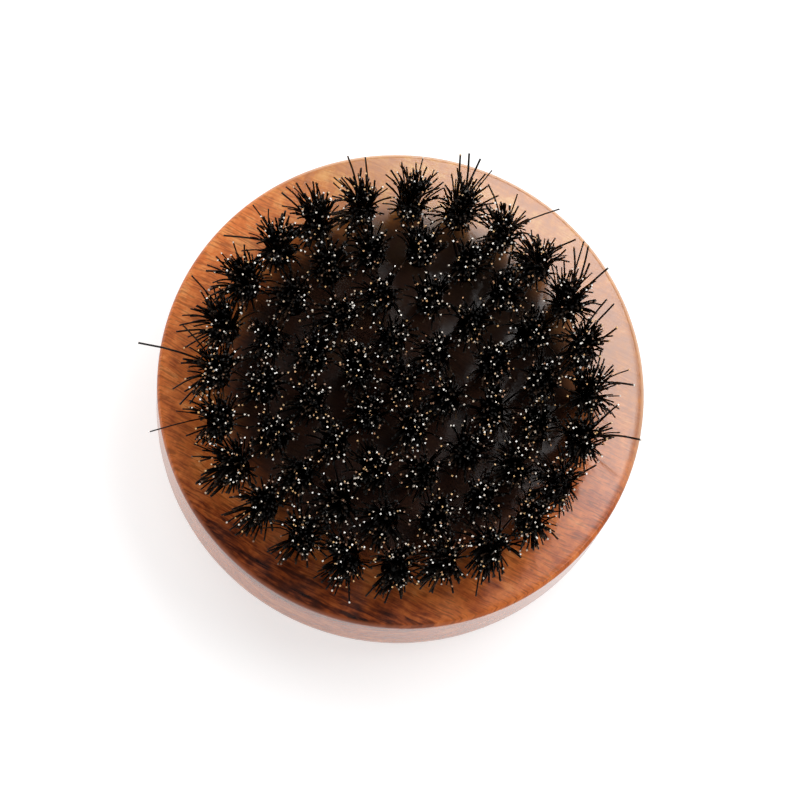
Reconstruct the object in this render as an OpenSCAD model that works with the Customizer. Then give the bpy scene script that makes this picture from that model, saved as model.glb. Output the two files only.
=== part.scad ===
// Round palm brush for beards: a turned wooden disc whose flat face is drilled with rings of blind holes.
// Each hole holds one tuft of stiff bristle, folded in half round a flat wire anchor.
// Millimetres. The origin is the centre of the flat rest face, and +Z points out of the bristle face.

/* [Wooden body] */
// Diameter of the body
body_d = 58; // [48:1:70]
// Thickness of the wood, from the rest face to the bristle face
body_h = 20; // [16:0.5:26]
// Rounding of the rim of the bristle face
face_edge_r = 0.5; // [0.4:0.1:2]
// Rounding between the side wall and the rest face
back_edge_r = 10.5; // [4:0.5:11]

/* [Holes] */
// From the side wall in to the centres of the outermost holes
rim_w = 7; // [5:0.5:8]
// Diameter of each blind hole
hole_d = 3.2; // [2.4:0.1:3.9]
// Depth of each hole's straight wall
hole_depth = 6; // [5:0.5:8]
// Angle of the cone that the drill leaves at the bottom of a hole
drill_angle = 118; // [90:2:140]
// Direction of the first hole of each ring, from the inner ring out
ring_start = [45, 15, 5, 0]; // [0:1:60]

/* [Bristle tufts] */
// Height of the bristle tips above the bristle face
bristle_h = 11; // [8:0.5:15]
// Gap between the tips of neighbouring tufts
tuft_gap = 0.4; // [0.3:0.05:1]
// Height of the rounded crown of a tuft
crown_h = 1.2; // [0.5:0.1:2]
// Space between a tuft's root and the wall of its hole
root_gap = 0.02; // [0.01:0.01:0.05]

/* [Wire anchors] */
// Thickness of the flat wire
wire_t = 0.4; // [0.2:0.05:0.6]
// Width of the flat wire, which stands upright in the hole
wire_w = 1.8; // [1:0.1:2.2]
// How far each end of an anchor bites into the wood
wire_bite = 0.4; // [0.2:0.05:0.5]
// Thickness of the folded bristles under an anchor
fold_h = 0.8; // [0.5:0.1:1.2]
// Space round an anchor where it passes through its tuft and the wood
wire_gap = 0.01; // [0.01:0.01:0.05]

/* [Hidden] */
RING_NAMES = ["inner", "second", "third", "outer"];
RINGS = len(RING_NAMES);
// Each ring has this many more tufts than the ring inside it, which keeps the spacing even
TUFTS_PER_RING = 6;
FULL_TURN = 360;
FINE = 128;
COARSE = 48;
// How far a cutting shape runs past the face that it cuts through
OVERCUT = 1;
// Bristles spread in two stages: up to the waist slowly, then faster
WAIST_HEIGHT_SHARE = 0.35;
WAIST_SPREAD_SHARE = 0.25;
// Radius of a tuft's flat top, as a share of its widest radius
CROWN_SHARE = 0.7;

body_r = body_d / 2;
hole_r = hole_d / 2;
drill_cone_h = hole_r / tan(drill_angle / 2);
ring_pitch = (body_r - rim_w) / RINGS;

root_r = hole_r - root_gap;
// A parallel gap along the drill cone lifts the root by more than it narrows it
root_lift = root_gap / sin(drill_angle / 2);
tip_r = (ring_pitch - tuft_gap) / 2;
waist_h = bristle_h * WAIST_HEIGHT_SHARE;
waist_r = root_r + (tip_r - root_r) * WAIST_SPREAD_SHARE;
crown_r = tip_r * CROWN_SHARE;

anchor_l = hole_d + 2 * wire_bite;
anchor_z = body_h - hole_depth + fold_h;

// Holes in one ring, counted from 1 for the inner ring
function ring_count(ring) = TUFTS_PER_RING * ring;
function hole_angle(ring, i) = ring_start[ring - 1] + i * FULL_TURN / ring_count(ring);
function hole_place(ring, i) = ring * ring_pitch * [cos(hole_angle(ring, i)), sin(hole_angle(ring, i))];
function two_digits(n) = str(n < 10 ? "0" : "", n);
function tuft_name(ring, i) = str("tuft_", RING_NAMES[ring - 1], "_", two_digits(i + 1));

CENTRE = [0, 0];
INNER_PLACES = [CENTRE, for (i = [0 : ring_count(1) - 1]) hole_place(1, i)];
OUTER_PLACES = [for (ring = [2 : RINGS]) for (i = [0 : ring_count(ring) - 1]) hole_place(ring, i)];
PLACES = concat(INNER_PLACES, OUTER_PLACES);
TUFT_NAMES = [for (ring = [2 : RINGS]) for (i = [0 : ring_count(ring) - 1]) tuft_name(ring, i)];

// A quarter of a disc, turned to the corner that it rounds
module quarter(r, turn) {
    rotate(turn)
        intersection() {
            circle(r, $fn = FINE);
            square([r, r]);
        }
}

// Half of the body's section, from the axis to the side wall
module body_section() {
    straight_h = body_h - face_edge_r - back_edge_r;
    square([body_r - back_edge_r, back_edge_r]);
    translate([body_r - back_edge_r, back_edge_r]) quarter(back_edge_r, -90);
    translate([0, back_edge_r]) square([body_r, straight_h]);
    translate([0, body_h - face_edge_r]) square([body_r - face_edge_r, face_edge_r]);
    translate([body_r - face_edge_r, body_h - face_edge_r]) quarter(face_edge_r, 0);
}

// A blind hole: a straight wall down from the mouth, then the cone that the drill leaves
module hole() {
    translate([0, 0, body_h])
        rotate_extrude($fn = COARSE)
            polygon([
                [0, -hole_depth - drill_cone_h],
                [hole_r, -hole_depth],
                [hole_r, OVERCUT],
                [0, OVERCUT]
            ]);
}

// An upright strip of flat wire across a hole, made thicker and taller by a gap all round
module anchor(gap = 0) {
    translate([-anchor_l / 2, -wire_t / 2 - gap, anchor_z - gap])
        cube([anchor_l, wire_t + 2 * gap, wire_w + 2 * gap]);
}

// One tuft: a root that fills its hole, spreading above the face to a low crown
module tuft() {
    root_z = -hole_depth + root_lift;
    point_z = root_z - root_r / tan(drill_angle / 2);
    color([0.05, 0.045, 0.04])
        difference() {
            translate([0, 0, body_h])
                rotate_extrude($fn = COARSE)
                    polygon([
                        [0, point_z],
                        [root_r, root_z],
                        [root_r, 0],
                        [waist_r, waist_h],
                        [tip_r, bristle_h - crown_h],
                        [crown_r, bristle_h],
                        [0, bristle_h]
                    ]);
            anchor(wire_gap);
        }
}

module wood_body() {
    color([0.55, 0.31, 0.19])
        difference() {
            rotate_extrude($fn = FINE) body_section();
            for (place = PLACES)
                translate(place) {
                    hole();
                    anchor(wire_gap);
                }
        }
}

module anchor_staples() {
    color([0.72, 0.72, 0.7])
        for (place = PLACES)
            translate(place) anchor();
}

module tufts_inner() {
    for (place = INNER_PLACES)
        translate(place) tuft();
}

wood_body();
anchor_staples();
tufts_inner();
for (i = [0 : len(TUFT_NAMES) - 1])
    translate(OUTER_PLACES[i]) tuft();
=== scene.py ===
"""Round palm brush for beards: a lacquered wooden disc with rings of black bristle tufts.

Metres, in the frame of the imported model: +Z out of the bristle face, origin at the centre of the rest face.
"""
import math

import bmesh
import bpy
from mathutils import Matrix, Vector


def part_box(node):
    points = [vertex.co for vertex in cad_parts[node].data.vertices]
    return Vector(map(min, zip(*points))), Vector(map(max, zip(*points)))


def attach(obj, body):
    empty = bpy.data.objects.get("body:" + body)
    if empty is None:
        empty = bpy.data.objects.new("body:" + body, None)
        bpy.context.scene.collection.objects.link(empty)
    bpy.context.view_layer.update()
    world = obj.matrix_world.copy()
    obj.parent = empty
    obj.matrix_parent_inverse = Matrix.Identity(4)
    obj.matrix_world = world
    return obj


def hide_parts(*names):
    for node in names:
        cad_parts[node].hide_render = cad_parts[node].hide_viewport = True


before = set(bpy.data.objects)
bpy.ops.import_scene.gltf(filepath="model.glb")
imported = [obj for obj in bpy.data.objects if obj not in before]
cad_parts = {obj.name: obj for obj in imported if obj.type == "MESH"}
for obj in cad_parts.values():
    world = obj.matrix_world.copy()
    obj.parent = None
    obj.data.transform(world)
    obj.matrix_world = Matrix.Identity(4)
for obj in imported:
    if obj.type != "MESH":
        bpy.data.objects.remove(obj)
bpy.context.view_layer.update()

MM = 0.001

# Sizes worked out from the frame
wood_low, wood_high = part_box("wood_body")
BODY_R = (wood_high.x - wood_low.x) / 2
FACE_Z = wood_high.z
tuft_low, tuft_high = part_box("tuft_outer_01")
OUTER_RING_R = (tuft_high.x + tuft_low.x) / 2
BRISTLE_LENGTH = tuft_high.z - FACE_Z
WIRE_BOTTOM_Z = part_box("anchor_staples")[0].z
TUFT_NODES = sorted(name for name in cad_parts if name.startswith("tuft"))

# The bristles: a strand is one bristle that is folded under its anchor into two limbs
BRISTLE_R = 0.12 * MM
ROOT_R = 1.45 * MM
WIRE_HALF_T = 0.2 * MM
OUTER_STRANDS = 84
INNER_STRANDS = 64
OUTER_SPREAD = 0.26
INNER_SPREAD = 0.17
HOLE_STEPS = 2
FREE_STEPS = 5
TIP_STEPS = 1
LIMB_STEPS = HOLE_STEPS + FREE_STEPS + TIP_STEPS
LENGTH_RANGE = (0.88, 1.05)           # as shares of the bristle length
CUT_LENGTH = 0.14 * MM
THICKNESS_RANGE = (0.8, 1.15)         # as shares of the bristle radius
TAPER_FROM = 0.3                      # where along the free length a bristle begins to thin
TAPERED_THICKNESS = 0.88
CUT_END_THICKNESS = 1.05
ROOT_BEND = 0.45                      # the share of its slope that a bristle has where it leaves the wood

# Clumps: neighbouring strands share their root, slope and curl by these shares of the clumping
CLUMP_STRANDS = 5
ROOT_SHARED = 0.7
WAY_SHARED = 0.8
CLUMP_WILDNESS = 0.5                  # how much wilder fully clumped bristles are
STRAY_WILDNESS = 0.9                  # how much wilder a stray is

# Slopes: the brush was stroked, so its bristles lie one way and hardly lean the other
LAY = (-0.07, -0.20, 0.0)
TUFT_LEAN = 0.05                      # each tuft leans on its own by up to this
STROKED_FROM = (0.6, -0.8, 0.0)
STROKED_LEAN = 0.20                   # the lean to this side that stays as it is
STROKED_BACK = 0.9                    # the share of any further lean that is taken back
STEEPEST = 0.9                        # a limit to the squared slope, so that every bristle still climbs

# Long loose bristles, by the tuft that they come out of, each with its slope in x and y
STRAYS = {
    "tuft_outer_01": ((0.35, -0.19), (0.30, 0.05)),
    "tuft_outer_02": ((0.16, 0.24), (0.30, 0.17), (0.20, -0.10)),
    "tuft_outer_03": ((0.11, 0.31), (0.03, 0.33), (0.26, 0.13), (-0.05, 0.35)),
    "tuft_outer_04": ((0.34, 0.0), (-0.20, 0.05)),
    "tuft_outer_05": ((0.04, 0.12), (0.50, 0.0), (-0.17, 0.21)),
    "tuft_outer_06": ((0.0, 0.20), (0.22, 0.32), (0.04, 0.29), (0.25, 0.17)),
    "tuft_outer_07": ((-0.02, 0.17), (-0.16, 0.10)),
    "tuft_outer_08": ((-0.14, 0.18), (-0.10, 0.20)),
    "tuft_outer_09": ((-0.37, -0.08), (-0.26, 0.0)),
    "tuft_outer_10": ((-0.70, -0.16), (-0.44, 0.13)),
    "tuft_outer_11": ((-0.08, 0.10), (-0.38, -0.12)),
    "tuft_outer_12": ((-0.48, 0.31), (-0.33, -0.12)),
    "tuft_outer_13": ((-0.80, 0.07), (-0.30, 0.15)),
    "tuft_outer_14": ((-0.69, -0.39),),
    "tuft_outer_15": ((-0.35, -0.25), (-0.36, -0.40)),
    "tuft_outer_21": ((0.22, -0.31),),
    "tuft_outer_24": ((0.51, -0.12), (0.20, 0.15)),
}

# The camera
VIEW_AZIMUTH = math.radians(-14.7)
VIEW_ELEVATION = math.radians(75.3)
VIEW_DISTANCE = 400 * MM
VIEW_ROLL = math.radians(2.3)
VIEW_WIDTH = 94.9 * MM
VIEW_SHIFT = (-0.235 * MM, -1.568 * MM)
SENSOR_WIDTH = 36.0
CLIP_START = 10 * MM
CLIP_END = 20.0


# ---------------------------------------------------------------- node building

class Net:
    """A node tree that is built by calls: each returns the new node's first output, or the node itself."""

    def __init__(self, tree):
        self.tree = tree

    def feed(self, socket, value):
        if isinstance(value, bpy.types.NodeSocket):
            self.tree.links.new(value, socket)
        else:
            socket.default_value = value

    def node(self, kind, inputs=(), **settings):
        made = self.tree.nodes.new(kind)
        for name, value in settings.items():
            setattr(made, name, value)
        for key, value in dict(inputs).items():
            socket = key
            if isinstance(key, str):
                socket = next(s for s in made.inputs if s.name == key and s.enabled)
            elif isinstance(key, int):
                socket = made.inputs[key]
            self.feed(socket, value)
        return made

    def out(self, kind, inputs=(), **settings):
        made = self.node(kind, inputs, **settings)
        return next(s for s in made.outputs if s.enabled)

    def math(self, operation, *values):
        return self.out("ShaderNodeMath", dict(enumerate(values)), operation=operation)

    def vector(self, operation, *values):
        made = self.node("ShaderNodeVectorMath", dict(enumerate(values)), operation=operation)
        scalar = operation in ("LENGTH", "DOT_PRODUCT")
        return made.outputs["Value" if scalar else "Vector"]

    def scaled(self, vector, factor):
        made = self.node("ShaderNodeVectorMath", {0: vector, "Scale": factor}, operation="SCALE")
        return made.outputs["Vector"]

    def combine(self, x, y, z):
        return self.out("ShaderNodeCombineXYZ", {0: x, 1: y, 2: z})

    def separate(self, vector):
        return self.node("ShaderNodeSeparateXYZ", {0: vector}).outputs

    def remap(self, value, from_min, from_max, to_min=0.0, to_max=1.0, smooth=False):
        ends = {"From Min": from_min, "From Max": from_max, "To Min": to_min, "To Max": to_max}
        kind = "SMOOTHSTEP" if smooth else "LINEAR"
        return self.out("ShaderNodeMapRange", {"Value": value, **ends}, interpolation_type=kind, clamp=True)

    def mix(self, factor, first, second, blend="MIX"):
        inputs = {"Factor": factor, "A": first, "B": second}
        return self.out("ShaderNodeMix", inputs, data_type="RGBA", blend_type=blend)


def new_group(name, kind, inputs, outputs):
    """A node group with the sockets named in inputs and outputs, as (name, type, default) rows."""
    tree = bpy.data.node_groups.new(name, kind)
    for in_out, rows in (("INPUT", inputs), ("OUTPUT", outputs)):
        for label, socket_type, default in rows:
            socket = tree.interface.new_socket(label, in_out=in_out, socket_type="NodeSocket" + socket_type)
            if default is not None:
                socket.default_value = default
    net = Net(tree)
    return net, tree.nodes.new("NodeGroupInput").outputs, tree.nodes.new("NodeGroupOutput").inputs


# ---------------------------------------------------------------- materials

# Each bristle has a tone of its own, from 0 to 1
BRISTLE_COLOUR = (0.004, 0.0034, 0.003, 1)
BROWN_BRISTLE_COLOUR = (0.035, 0.018, 0.009, 1)
BROWN_TONES = (0.7, 1.0)
BROWN_PART = (0.3, 1.0)               # of the free length
BRISTLE_ROUGHNESS = (0.4, 0.6)
CUT_END_COLOURS = (
    (0.0, (0.99, 0.97, 0.94, 1)),
    (0.25, (0.86, 0.79, 0.69, 1)),
    (0.5, (0.55, 0.46, 0.38, 1)),
    (0.65, (0.75, 0.46, 0.19, 1)),
    (0.8, (0.42, 0.20, 0.10, 1)),
    (1.0, (0.12, 0.08, 0.06, 1)),
)


def new_material(name):
    material = bpy.data.materials.new(name)
    material.use_nodes = True
    net = Net(material.node_tree)
    return material, net, material.node_tree.nodes["Principled BSDF"].inputs


def fill_ramp(ramp, stops):
    """Puts (position, colour) stops on a new ramp, which has one stop at each end already."""
    for position, colour in stops:
        stop = ramp.elements.new(position) if 0.0 < position < 1.0 else ramp.elements[-int(position)]
        stop.position = position
        stop.color = colour


def bristle_material():
    """Black, but for some bristles that are brown towards their tip."""
    material, net, shader = new_material("black_bristle")
    tone = net.node("ShaderNodeAttribute", attribute_name="tone").outputs["Fac"]
    along = net.node("ShaderNodeAttribute", attribute_name="along").outputs["Fac"]
    brown = net.math("MULTIPLY", net.remap(tone, *BROWN_TONES), net.remap(along, *BROWN_PART))
    net.feed(shader["Base Color"], net.mix(brown, BRISTLE_COLOUR, BROWN_BRISTLE_COLOUR))
    net.feed(shader["Roughness"], net.remap(tone, 0.0, 1.0, *BRISTLE_ROUGHNESS))
    shader["Specular IOR Level"].default_value = 0.2
    return material


def cut_end_material():
    material, net, shader = new_material("bristle_cut_end")
    tone = net.node("ShaderNodeAttribute", attribute_name="tone").outputs["Fac"]
    ramp = net.node("ShaderNodeValToRGB", {"Fac": tone})
    fill_ramp(ramp.color_ramp, CUT_END_COLOURS)
    net.feed(shader["Base Color"], ramp.outputs["Color"])
    shader["Roughness"].default_value = 0.5
    return material


# Where the wood was cut from the tree
GRAIN_TURN = math.radians(23.0)       # turns the brush so that the grain runs along x
PITH = (-70.0, 90.0)                  # the tree's centre line beside and above the brush, in mm
HEART_DEPTHS = (84.2, 87.8)           # the heartwood ends between these distances from it, in mm
SAP_DIRECTION = (0.6, 0.8, 0.0)       # the paler, yellower sapwood is on this side, and its tint there is partly painted shade
SAP_REACH = (2.0 * MM, 20.0 * MM)

# Shades run from dark, 0, to pale, 1
WOOD_SHADES = (
    (0.0, (0.020, 0.006, 0.004, 1)),
    (0.25, (0.13, 0.024, 0.008, 1)),
    (0.5, (0.42, 0.085, 0.018, 1)),
    (0.75, (0.72, 0.19, 0.040, 1)),
    (1.0, (0.92, 0.38, 0.12, 1)),
)
BASE_SHADE = 0.535
BAND_SHADE = 0.16
MOTTLE_SHADE = 0.29
HEART_SHADE = -0.47
PAINTED_END_SHADE = 0.10                      # painted shade: how much darker the wood is made at the end of its grain on the softbox's side
PAINTED_END_SHADE_REACH = (-10.0, 28.0)             # in mm along the grain
# What each has in plain wood, and what the heartwood and the sapwood add to that
STREAK_DEPTH = (0.11, 0.18, -0.05)
FIBRE_CONTRAST = (0.10, 0.29, -0.03)
PORE_OPENNESS = (0.38, 0.15, -0.30)

PORE_COLOUR = (0.06, 0.014, 0.006, 1)
# The sapwood's tint, which also darkens that side as painted shade against the softbox's stronger light there
SAP_TINT_AND_PAINTED_SHADE = (0.72, 0.97, 0.92, 1)
SAP_PATCH_COLOUR = (0.45, 0.20, 0.09, 1)
SAP_PATCH_SHARE = 0.45

# The rounded edge of the face
EDGE_WIDTH = 0.5 * MM
EDGE_COLOUR = (0.36, 0.09, 0.03, 1)
EDGE_SHARES = (0.1, 0.75)             # how much the edge is reddened in plain wood and in heartwood
SAP_EDGE_COLOUR = (0.85, 0.56, 0.38, 1)
SAP_EDGE_SHARE = 0.6

# The face between the bristles: painted shade, near black, where the tufts shade it
PAINTED_FIELD_SHADE_COLOUR = (0.018, 0.014, 0.013, 1)
PAINTED_FIELD_SHADE_SHARE = 0.92
FIELD_DARK_R = OUTER_RING_R - 3.8 * MM
FIELD_EDGE_R = OUTER_RING_R + 1.4 * MM

# The lacquer: how much of its coat is left on the face with the painted shade between the bristles, on the
# reddened edge and where it has sunk in
PAINTED_SHADE_GLOSS = 0.3
EDGE_GLOSS = 0.3
SUNK_GLOSS = 0.25
SUNK_DIRECTION = (0.85, -0.53, 0.0)   # it has sunk in along the edge on this side
SUNK_REACH = (14.0 * MM, 24.0 * MM)
SUNK_WIDTH = 2.4 * EDGE_WIDTH


def wood_grain_group():
    """Bands, dark streaks, pores and mottle of a block cut beside the tree's centre line, and Depth, how far
    out from that line, in mm."""
    net, given, result = new_group("Wood Grain", "ShaderNodeTree", (
        ("Vector", "Vector", None),
        ("Band Density", "Float", 0.3),
        ("Streak Density", "Float", 1.8),
        ("Fibre Density", "Float", 3.4),
        ("Pore Density", "Float", 6.0),
        ("Mottle Density", "Float", 0.55),
    ), (
        ("Bands", "Float", None),
        ("Streaks", "Float", None),
        ("Fibres", "Float", None),
        ("Pores", "Float", None),
        ("Mottle", "Float", None),
        ("Depth", "Float", None),
    ))
    place = net.separate(given["Vector"])
    beside = net.math("SUBTRACT", place["Y"], PITH[0])
    above = net.math("SUBTRACT", place["Z"], PITH[1])
    squares = net.math("ADD", net.math("POWER", beside, 2.0), net.math("POWER", above, 2.0))
    distance = net.math("SQRT", squares)
    around = net.math("SUBTRACT", net.math("MULTIPLY", above, 0.7), net.math("MULTIPLY", beside, 0.7))

    def noise(radius, along, radial, tangential, detail, roughness=0.5):
        """Noise with so many features to a millimetre along the grain, across the rings and round them."""
        where = net.combine(
            net.math("MULTIPLY", place["X"], along),
            net.math("MULTIPLY", radius, radial),
            net.math("MULTIPLY", around, tangential))
        inputs = {"Vector": where, "Scale": 1.0, "Detail": detail, "Roughness": roughness}
        return net.out("ShaderNodeTexNoise", inputs)

    # The rings wander and wobble, and all but the mottle follows them
    wander = noise(distance, 0.03, 0.04, 0.04, 1.0)
    wobble = noise(distance, 0.25, 0.3, 0.25, 2.0)
    radius = net.math("MULTIPLY_ADD", wander, 4.0, net.math("MULTIPLY_ADD", wobble, 0.4, distance))
    bands = noise(radius, 0.02, given["Band Density"], 0.03, 2.0)
    streaks = noise(radius, 0.09, given["Streak Density"], 0.15, 3.0, 0.6)
    fading = noise(radius, 0.28, 0.5, 0.3, 1.0)
    fibres = noise(radius, 0.25, given["Fibre Density"], 0.6, 2.0, 0.6)
    pores = noise(radius, 0.55, given["Pore Density"], 1.5, 1.0, 0.5)
    mottle = noise(distance, given["Mottle Density"], given["Mottle Density"], 0.4, 4.0, 0.65)
    net.feed(result["Bands"], net.remap(bands, 0.32, 0.68))
    # A streak is a thin line where its noise passes through the middle, and comes and goes along the grain
    off_line = net.math("ABSOLUTE", net.math("SUBTRACT", streaks, 0.5))
    lines = net.math("MULTIPLY", net.remap(off_line, 0.005, 0.045, 1.0, 0.0), net.remap(fading, 0.40, 0.60))
    net.feed(result["Streaks"], lines)
    net.feed(result["Fibres"], net.remap(fibres, 0.36, 0.60))
    net.feed(result["Pores"], net.remap(pores, 0.52, 0.62))
    net.feed(result["Mottle"], net.remap(mottle, 0.32, 0.68))
    net.feed(result["Depth"], radius)
    return net.tree


def wood_material():
    material, net, shader = new_material("lacquered_wood")
    coordinates = net.node("ShaderNodeTexCoord").outputs["Object"]
    placed = net.out("ShaderNodeMapping", {
        "Vector": coordinates, "Rotation": (0.0, 0.0, GRAIN_TURN), "Scale": (1 / MM, 1 / MM, 1 / MM)})
    node = net.node("ShaderNodeGroup", node_tree=wood_grain_group())
    net.feed(node.inputs["Vector"], placed)
    grain = node.outputs

    # The dark heartwood lies along one side, and there the streaks are strongest
    heart = net.remap(grain["Depth"], *HEART_DEPTHS, 1.0, 0.0, smooth=True)
    sap = net.remap(net.vector("DOT_PRODUCT", coordinates, SAP_DIRECTION), *SAP_REACH, smooth=True)

    def by_zone(plain, in_heart, in_sap):
        return net.math("MULTIPLY_ADD", sap, in_sap, net.math("MULTIPLY_ADD", heart, in_heart, plain))

    shade = net.math("MULTIPLY_ADD", grain["Bands"], BAND_SHADE, BASE_SHADE)
    shade = net.math("MULTIPLY_ADD", grain["Mottle"], MOTTLE_SHADE, shade)
    shade = net.math("SUBTRACT", shade, net.math("MULTIPLY", grain["Streaks"], by_zone(*STREAK_DEPTH)))
    fibres = net.math("SUBTRACT", grain["Fibres"], 0.5)
    shade = net.math("MULTIPLY_ADD", fibres, by_zone(*FIBRE_CONTRAST), shade)
    shade = net.math("MULTIPLY_ADD", heart, HEART_SHADE, shade)
    along = net.separate(placed)["X"]
    # Painted shade: the wood is darker towards the softbox's end of the grain, to even out its stronger light
    # there
    shade = net.math("SUBTRACT", shade, net.remap(along, *PAINTED_END_SHADE_REACH, 0.0, PAINTED_END_SHADE))
    ramp = net.node("ShaderNodeValToRGB", {"Fac": shade})
    fill_ramp(ramp.color_ramp, WOOD_SHADES)
    open_pores = net.math("MULTIPLY", grain["Pores"], by_zone(*PORE_OPENNESS))
    colour = net.mix(open_pores, ramp.outputs["Color"], PORE_COLOUR)
    # The sapwood tint, partly painted shade: it darkens the side that the softbox lights most
    colour = net.mix(sap, colour, SAP_TINT_AND_PAINTED_SHADE, "MULTIPLY")
    patches = net.math("MULTIPLY", sap, net.remap(grain["Mottle"], 0.2, 0.8, SAP_PATCH_SHARE, 0.0))
    colour = net.mix(patches, colour, SAP_PATCH_COLOUR)

    # The rounded edge looks red even on the heartwood, and is pale on the sapwood
    where = net.separate(coordinates)
    from_axis = net.vector("LENGTH", net.combine(where["X"], where["Y"], 0.0))
    above_side = net.remap(where["Z"], FACE_Z - 2.0 * EDGE_WIDTH, FACE_Z - EDGE_WIDTH)
    on_edge = net.remap(from_axis, BODY_R - EDGE_WIDTH, BODY_R - 0.5 * EDGE_WIDTH)
    on_edge = net.math("MULTIPLY", on_edge, above_side)
    reddened = net.math("MULTIPLY", on_edge, net.remap(heart, 0.0, 1.0, *EDGE_SHARES))
    colour = net.mix(reddened, colour, EDGE_COLOUR)
    paled = net.math("MULTIPLY", on_edge, net.math("MULTIPLY", sap, SAP_EDGE_SHARE))
    colour = net.mix(paled, colour, SAP_EDGE_COLOUR)

    # Painted shade: the face between the bristles is darkened nearly to black, standing in for the shade of
    # the tufts
    in_field = net.remap(from_axis, FIELD_DARK_R, FIELD_EDGE_R, 1.0, 0.0, smooth=True)
    on_face = net.remap(where["Z"], FACE_Z - 1.0 * MM, FACE_Z - 0.2 * MM)
    painted_shade = net.math("MULTIPLY", net.math("MULTIPLY", in_field, on_face), PAINTED_FIELD_SHADE_SHARE)
    net.feed(shader["Base Color"], net.mix(painted_shade, colour, PAINTED_FIELD_SHADE_COLOUR))

    # The lacquer's coat is thinner in these places
    sunk = net.remap(net.vector("DOT_PRODUCT", coordinates, SUNK_DIRECTION), *SUNK_REACH)
    by_rim = net.remap(from_axis, BODY_R - SUNK_WIDTH, BODY_R - EDGE_WIDTH, smooth=True)
    sunk = net.math("MULTIPLY", net.math("MULTIPLY", sunk, above_side), by_rim)
    # Less coat on the face with the painted shade between the bristles
    on_painted_shade = net.remap(painted_shade, 0.0, 1.0, 1.0, PAINTED_SHADE_GLOSS)
    gloss = net.math("MULTIPLY", on_painted_shade, net.remap(reddened, 0.0, 1.0, 1.0, EDGE_GLOSS))
    gloss = net.math("MULTIPLY", gloss, net.remap(sunk, 0.0, 1.0, 1.0, SUNK_GLOSS))
    net.feed(shader["Coat Weight"], gloss)
    net.feed(shader["Roughness"], net.remap(grain["Streaks"], 0.0, 1.0, 0.45, 0.6))
    relief = net.math("SUBTRACT", 1.0, grain["Pores"])
    bump = net.out("ShaderNodeBump", {"Strength": 0.3, "Distance": 0.03 * MM, "Height": relief})
    net.feed(shader["Normal"], bump)
    # Lacquer soaks into the wood, so nearly all of the gloss is the coat's
    shader["Specular IOR Level"].default_value = 0.05
    shader["Coat Roughness"].default_value = 0.13
    shader["Coat IOR"].default_value = 1.55
    return material


def wire_material():
    material, net, shader = new_material("anchor_wire")
    shader["Base Color"].default_value = (0.6, 0.6, 0.58, 1)
    shader["Metallic"].default_value = 1.0
    coordinates = net.node("ShaderNodeTexCoord").outputs["Object"]
    dulled = net.out("ShaderNodeTexNoise", {"Vector": coordinates, "Scale": 1.5 / MM, "Detail": 3.0})
    net.feed(shader["Roughness"], net.remap(dulled, 0.35, 0.65, 0.25, 0.45))
    return material


# ---------------------------------------------------------------- bristles

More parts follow.
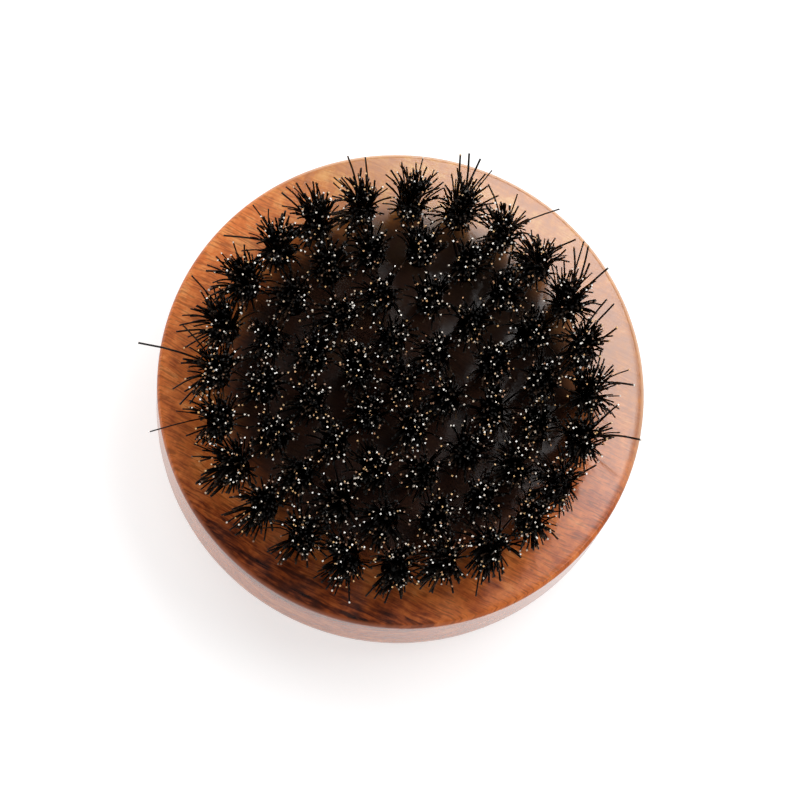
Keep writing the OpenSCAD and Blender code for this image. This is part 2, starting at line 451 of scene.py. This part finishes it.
def bristle_tree(dark, pale):
    """Grows bristles on vertices that carry two attributes: strands, how many, and sweep, the slope that is
    set for a loose one."""
    net, given, result = new_group("Bristle Tufts", "GeometryNodeTree", (
        ("Centres", "Geometry", None),
        ("Seed", "Int", 0),
        ("Face Height", "Float", FACE_Z),
        ("Fold Height", "Float", WIRE_BOTTOM_Z - BRISTLE_R),
        ("Root Radius", "Float", ROOT_R),
        ("Bristle Length", "Float", BRISTLE_LENGTH),
        ("Bristle Radius", "Float", BRISTLE_R),
        ("Spread", "Float", 0.2),
        ("Unruliness", "Float", 0.10),
        ("Curl", "Float", 0.08),
        ("Outward Lean", "Float", -0.01),
        ("Ring Radius", "Float", OUTER_RING_R),
        ("Stray Share", "Float", 0.05),
        ("Lay", "Vector", LAY),
        ("Clumping", "Float", 0.4),
        ("Stray Length", "Float", 1.15),
        ("Cut Length", "Float", CUT_LENGTH),
        ("Pale Share", "Float", 0.25),
    ), (("Bristles", "Geometry", None),))

    def named(attribute, data_type="FLOAT"):
        return net.out("GeometryNodeInputNamedAttribute", {"Name": attribute}, data_type=data_type)

    def store(geometry, attribute, value, data_type="FLOAT"):
        inputs = {"Geometry": geometry, "Name": attribute, "Value": value}
        return net.out("GeometryNodeStoreNamedAttribute", inputs, data_type=data_type, domain="POINT")

    # Points: one for each strand, which remembers its tuft
    index = net.out("GeometryNodeInputIndex")
    points = net.out("GeometryNodeMeshToPoints", {"Mesh": given["Centres"]})
    points = store(points, "tuft", index, "INT")
    points = store(points, "centre", net.out("GeometryNodeInputPosition"), "FLOAT_VECTOR")
    inputs = {"Geometry": points, "Amount": named("strands", "INT")}
    points = net.node("GeometryNodeDuplicateElements", inputs, domain="POINT").outputs["Geometry"]
    points = store(points, "strand", index, "INT")
    line = net.out("GeometryNodeCurvePrimitiveLine", {"End": (0.0, 0.0, BRISTLE_LENGTH)})
    line = net.out("GeometryNodeResampleCurve", {"Curve": line, "Count": 2 * LIMB_STEPS + 1})
    strands = net.out("GeometryNodeInstanceOnPoints", {"Points": points, "Instance": line})
    strands = net.out("GeometryNodeRealizeInstances", {"Geometry": strands})

    # Where on its strand a point is: step counts from the fold, and side says which limb
    place_on_strand = net.node("GeometryNodeSplineParameter").outputs["Index"]
    count = net.math("SUBTRACT", place_on_strand, float(LIMB_STEPS))
    side = net.math("GREATER_THAN", count, 0.0)
    step = net.math("ABSOLUTE", count)
    seed = net.math("MULTIPLY", given["Seed"], 1000.0)
    limb = net.math("ADD", net.math("MULTIPLY_ADD", named("strand", "INT"), 2.0, side), seed)
    tuft = net.math("ADD", named("tuft", "INT"), seed)
    clump = net.math("FLOOR", net.math("DIVIDE", named("strand", "INT"), float(CLUMP_STRANDS)))
    clump = net.math("ADD", net.math("MULTIPLY_ADD", clump, 2.0, side), seed)
    clumping = given["Clumping"]

    def draw(low, high, salt, identity=limb):
        inputs = {"Min": low, "Max": high, "ID": identity, "Seed": salt}
        return net.out("FunctionNodeRandomValue", inputs, data_type="FLOAT")

    def blended(own, shared, share):
        """Each limb's own value mixed with the one that its clump shares."""
        amount = net.math("MULTIPLY", clumping, share)
        own = net.scaled(own, net.math("SUBTRACT", 1.0, amount))
        return net.vector("ADD", own, net.scaled(shared, amount))

    def half_disc(identity):
        radius = net.math("MULTIPLY", net.math("SQRT", draw(0.0, 1.0, 1, identity)), given["Root Radius"])
        angle = draw(0.0, math.pi, 2, identity)
        x = net.math("MULTIPLY", radius, net.math("COSINE", angle))
        return net.combine(x, net.math("MULTIPLY", radius, net.math("SINE", angle)), 0.0)

    def any_way(salt, identity):
        return net.combine(draw(-1.0, 1.0, salt, identity), draw(-1.0, 1.0, salt + 1, identity), 0.0)

    # Root: spread over one half of the hole, clear of the anchor, with the limbs of a clump close together
    sign = net.math("MULTIPLY_ADD", side, 2.0, -1.0)
    clear_y = net.math("ADD", given["Bristle Radius"], WIRE_HALF_T)

    def on_its_side(root):
        place = net.separate(root)
        half_y = net.math("MAXIMUM", place["Y"], clear_y)
        return net.combine(place["X"], net.math("MULTIPLY", half_y, sign), 0.0)

    root = on_its_side(blended(half_disc(limb), half_disc(clump), ROOT_SHARED))
    past_fold = net.math("MINIMUM", step, 1.0)
    spread_root = on_its_side(blended(half_disc(limb), half_disc(clump), 1.0))

    # Slope of the limb: outwards in its tuft, outwards on the brush, and a little wild
    outwards = net.scaled(spread_root, net.math("DIVIDE", given["Spread"], given["Root Radius"]))
    centre = named("centre", "FLOAT_VECTOR")
    reach = net.math("DIVIDE", net.vector("LENGTH", centre), given["Ring Radius"])
    lean = net.math("MULTIPLY", given["Outward Lean"], reach)
    lean = net.scaled(centre, net.math("DIVIDE", lean, given["Ring Radius"]))
    stray = net.math("LESS_THAN", draw(0.0, 1.0, 3), given["Stray Share"])
    sweep = net.scaled(named("sweep", "FLOAT_VECTOR"), side)
    is_swept = net.math("GREATER_THAN", net.vector("LENGTH", sweep), 0.0)
    wildness = net.math("MULTIPLY", given["Unruliness"], net.math("MULTIPLY_ADD", stray, STRAY_WILDNESS, 1.0))
    wildness = net.math("MULTIPLY", wildness, net.math("MULTIPLY_ADD", clumping, CLUMP_WILDNESS, 1.0))
    wild = net.scaled(blended(any_way(4, limb), any_way(4, clump), WAY_SHARED), wildness)
    tuft_lean_x = draw(-TUFT_LEAN, TUFT_LEAN, 6, tuft)
    tuft_lean = net.combine(tuft_lean_x, draw(-TUFT_LEAN, TUFT_LEAN, 7, tuft), 0.0)
    slope = net.vector("ADD", net.vector("ADD", outwards, lean), net.vector("ADD", tuft_lean, given["Lay"]))
    too_far = net.math("SUBTRACT", net.vector("DOT_PRODUCT", slope, STROKED_FROM), STROKED_LEAN)
    held_back = net.math("MULTIPLY", net.math("MAXIMUM", too_far, 0.0), -STROKED_BACK)
    slope = net.vector("ADD", slope, net.scaled(STROKED_FROM, held_back))
    slope = net.vector("ADD", slope, wild)
    slope = net.vector("ADD", net.scaled(slope, net.math("SUBTRACT", 1.0, is_swept)), sweep)
    curl = net.scaled(blended(any_way(8, limb), any_way(8, clump), WAY_SHARED), given["Curl"])

    # Along the limb: along is 0 at the face and 1 at the tip, with a short last step for the cut end
    length = net.math("MULTIPLY", given["Bristle Length"], draw(*LENGTH_RANGE, 10))
    length = net.math("MULTIPLY", length, net.remap(is_swept, 0.0, 1.0, 1.0, given["Stray Length"]))
    before_cut = net.math("SUBTRACT", 1.0, net.math("DIVIDE", given["Cut Length"], length))
    free = net.remap(step, float(HOLE_STEPS), float(HOLE_STEPS + FREE_STEPS))
    is_tip = net.math("GREATER_THAN", step, LIMB_STEPS - 0.5)
    along = net.math("MAXIMUM", net.math("MULTIPLY", free, before_cut), is_tip)
    bend = net.math("MULTIPLY_ADD", along, 1.0 - ROOT_BEND, ROOT_BEND)
    tilt = net.vector("ADD", net.scaled(slope, bend), net.scaled(curl, net.math("MULTIPLY", along, along)))
    steep = net.math("MINIMUM", net.vector("DOT_PRODUCT", tilt, tilt), STEEPEST)
    upright = net.math("SQRT", net.math("SUBTRACT", 1.0, steep))
    run = net.math("MULTIPLY", length, along)
    climb = net.math("MULTIPLY", run, upright)
    root_z = net.remap(step, 0.0, float(HOLE_STEPS), given["Fold Height"], given["Face Height"])
    place = net.separate(root)
    root = net.combine(place["X"], net.math("MULTIPLY", place["Y"], past_fold), 0.0)
    place = net.vector("ADD", net.vector("ADD", centre, root), net.scaled(tilt, run))
    place = net.vector("ADD", place, net.combine(0.0, 0.0, net.math("ADD", root_z, climb)))
    strands = net.out("GeometryNodeSetPosition", {"Geometry": strands, "Position": place})
    taper = net.remap(along, TAPER_FROM, 1.0, 1.0, TAPERED_THICKNESS)
    taper = net.math("MAXIMUM", taper, net.math("MULTIPLY", is_tip, CUT_END_THICKNESS))
    thickness = net.math("MULTIPLY", draw(*THICKNESS_RANGE, 11), taper)
    strands = store(strands, "thickness", net.math("MULTIPLY", given["Bristle Radius"], thickness))
    strands = store(strands, "along", along)
    strands = store(strands, "tone", draw(0.0, 1.0, 12))
    strands = store(strands, "pale", net.math("LESS_THAN", draw(0.0, 1.0, 13), given["Pale Share"]))

    # Skin
    section = net.out("GeometryNodeCurvePrimitiveCircle", {"Resolution": 4, "Radius": 1.0}, mode="RADIUS")
    inputs = {"Curve": strands, "Profile Curve": section, "Scale": named("thickness"), "Fill Caps": True}
    mesh = net.out("GeometryNodeCurveToMesh", inputs)
    mesh = net.out("GeometryNodeSetShadeSmooth", {0: mesh})
    mesh = net.out("GeometryNodeRealizeInstances", {"Geometry": mesh})
    mesh = net.out("GeometryNodeSetMaterial", {"Geometry": mesh, "Material": dark})
    # The faces of the cut end have their middle within its length
    at_tip = net.math("GREATER_THAN", named("along"), 1.0 - 0.75 * CUT_LENGTH / BRISTLE_LENGTH)
    is_pale = net.math("MULTIPLY", at_tip, named("pale"))
    mesh = net.out("GeometryNodeSetMaterial", {"Geometry": mesh, "Selection": is_pale, "Material": pale})
    net.feed(result["Bristles"], mesh)
    return net.tree


def grown(tree, name, centres, strands, strays, **values):
    """A plain mesh object of the bristles that the tree grows on these centres, with strays on the first."""
    mesh = bpy.data.meshes.new(name)
    mesh.from_pydata(centres + [centres[0]] * len(strays), [], [])
    count = mesh.attributes.new("strands", "INT", "POINT")
    count.data.foreach_set("value", [strands] * len(centres) + [1] * len(strays))
    sweep = mesh.attributes.new("sweep", "FLOAT_VECTOR", "POINT")
    for vertex, (x, y) in enumerate(strays, len(centres)):
        sweep.data[vertex].vector = (x, y, 0.0)
    piece = bpy.data.objects.new(name, mesh)
    bpy.context.scene.collection.objects.link(piece)
    modifier = piece.modifiers.new("bristles", "NODES")
    modifier.node_group = tree
    for label, value in values.items():
        socket = tree.interface.items_tree[label]
        modifier[socket.identifier] = value
    seen = piece.evaluated_get(bpy.context.evaluated_depsgraph_get())
    piece.data = bpy.data.meshes.new_from_object(seen)
    piece.modifiers.clear()
    bpy.data.meshes.remove(mesh)
    return piece


def solid_centres(node):
    """The centre in plan of each separate solid of a CAD node."""
    copy = bmesh.new()
    copy.from_mesh(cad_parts[node].data)
    bmesh.ops.remove_doubles(copy, verts=copy.verts, dist=0.001 * MM)
    left = set(copy.verts)
    centres = []
    while left:
        group = set()
        edge = [left.pop()]
        while edge:
            vertex = edge.pop()
            group.add(vertex)
            near = {e.other_vert(vertex) for e in vertex.link_edges} & left
            left -= near
            edge.extend(near)
        xs = [v.co.x for v in group]
        ys = [v.co.y for v in group]
        centres.append(((min(xs) + max(xs)) / 2, (min(ys) + max(ys)) / 2, 0.0))
    copy.free()
    return sorted(centres)


def make_tufts():
    tree = bristle_tree(bristle_material(), cut_end_material())
    for number, node in enumerate(TUFT_NODES):
        name = node.replace("tufts", "bristles").replace("tuft", "bristles")
        outer = "outer" in node
        strands = OUTER_STRANDS if outer else INNER_STRANDS
        spread = OUTER_SPREAD if outer else INNER_SPREAD
        strays = STRAYS.get(node, ())
        piece = grown(tree, name, solid_centres(node), strands, strays, Seed=number + 1, Spread=spread)
        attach(piece, "root")
        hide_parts(node)


# ---------------------------------------------------------------- carried-over nodes

def dress(node, material):
    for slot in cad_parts[node].material_slots:
        slot.material = material


# ---------------------------------------------------------------- stage, light and camera

WHITE = (1, 1, 1, 1)
LIGHT_LEVEL = 0.36
CEILING_LEVEL = 0.08
CEILING_RISE = (0.5, 0.85)            # the walls darken into the ceiling between these
LAMP_DISTANCE = 1.0
SOFTBOX_POWER = 7.0
SOFTBOX_SIZE = (0.72, 0.42)
SOFTBOX_DIRECTION = (0.362, 0.220, 0.906)
WINDOW_POWER = 3.5
WINDOW_SIZE = (0.7, 0.7)
WINDOW_DIRECTION = (-0.30, 0.62, 0.73)
FLOOR_HALF = 2.0
FLOOR_COLOUR = (0.935, 0.955, 0.965, 1)
FLOOR_GLOW = 1.50
FLOOR_GLOW_SHARE = 0.42
FLOOR_GLOSSY_SHARE = 0.6              # how much of the glow shows in reflections


def add_object(name, data):
    made = bpy.data.objects.new(name, data)
    bpy.context.scene.collection.objects.link(made)
    return made


def seen_share(net, glossy_share):
    """1 for what looks at the stage straight or through something, and glossy_share for reflections."""
    path = net.node("ShaderNodeLightPath").outputs
    seen = net.math("MAXIMUM", path["Is Camera Ray"], path["Is Transmission Ray"])
    return net.math("MAXIMUM", seen, net.math("MULTIPLY", path["Is Glossy Ray"], glossy_share))


def make_floor():
    corners = [(x * FLOOR_HALF, y * FLOOR_HALF, 0) for x, y in ((-1, -1), (1, -1), (1, 1), (-1, 1))]
    mesh = bpy.data.meshes.new("floor")
    mesh.from_pydata(corners, [], [(0, 1, 2, 3)])
    floor = add_object("floor", mesh)
    material = bpy.data.materials.new("floor_paper")
    material.use_nodes = True
    nodes = material.node_tree.nodes
    nodes.clear()
    net = Net(material.node_tree)
    glow_share = net.math("MULTIPLY", seen_share(net, FLOOR_GLOSSY_SHARE), FLOOR_GLOW_SHARE)
    paper = net.out("ShaderNodeBsdfDiffuse", {"Color": FLOOR_COLOUR})
    glow = net.out("ShaderNodeEmission", {"Color": WHITE, "Strength": FLOOR_GLOW})
    mixed = net.out("ShaderNodeMixShader", {"Fac": glow_share, 1: paper, 2: glow})
    net.node("ShaderNodeOutputMaterial", {"Surface": mixed})
    floor.data.materials.append(material)


def make_world():
    """White walls and a dark ceiling for what looks at them, and an even light for everything else."""
    world = bpy.data.worlds.new("studio")
    bpy.context.scene.world = world
    world.use_nodes = True
    nodes = world.node_tree.nodes
    nodes.clear()
    net = Net(world.node_tree)
    rise = net.separate(net.node("ShaderNodeTexCoord").outputs["Generated"])["Z"]
    walls = net.remap(rise, *CEILING_RISE, 1.0, CEILING_LEVEL, smooth=True)
    extra = net.math("MULTIPLY", net.math("SUBTRACT", walls, LIGHT_LEVEL), seen_share(net, 1.0))
    strength = net.math("ADD", extra, LIGHT_LEVEL)
    sky = net.out("ShaderNodeBackground", {"Color": WHITE, "Strength": strength})
    net.node("ShaderNodeOutputWorld", {"Surface": sky})


def add_lamp(name, direction, size, power):
    direction = Vector(direction)
    lamp = bpy.data.lights.new(name, "AREA")
    lamp.shape = "RECTANGLE"
    lamp.size, lamp.size_y = size
    lamp.energy = power
    placed = add_object(name, lamp)
    placed.location = Vector((0, 0, FACE_Z)) + direction.normalized() * LAMP_DISTANCE
    placed.rotation_euler = direction.to_track_quat("Z", "Y").to_euler()
    return placed


def make_camera():
    back = Vector((
        math.sin(VIEW_AZIMUTH) * math.cos(VIEW_ELEVATION),
        -math.cos(VIEW_AZIMUTH) * math.cos(VIEW_ELEVATION),
        math.sin(VIEW_ELEVATION)))
    upward = Vector((-math.sin(VIEW_ROLL), math.cos(VIEW_ROLL), 0))
    right = upward.cross(back).normalized()
    up = back.cross(right)
    lens = bpy.data.cameras.new("camera")
    lens.sensor_width = SENSOR_WIDTH
    lens.lens = SENSOR_WIDTH * VIEW_DISTANCE / VIEW_WIDTH
    lens.clip_start = CLIP_START
    lens.clip_end = CLIP_END
    camera = add_object("camera", lens)
    aim = Vector((0, 0, FACE_Z)) + right * VIEW_SHIFT[0] + up * VIEW_SHIFT[1]
    turn = Matrix((right, up, back)).transposed().to_4x4()
    camera.matrix_world = Matrix.Translation(aim + back * VIEW_DISTANCE) @ turn
    bpy.context.scene.camera = camera


make_camera()
make_world()
make_floor()
add_lamp("softbox", SOFTBOX_DIRECTION, SOFTBOX_SIZE, SOFTBOX_POWER)
window = add_lamp("window", WINDOW_DIRECTION, WINDOW_SIZE, WINDOW_POWER)
window.visible_glossy = False
dress("wood_body", wood_material())
dress("anchor_staples", wire_material())
make_tufts()

bpy.context.scene.view_settings.view_transform = "Standard"
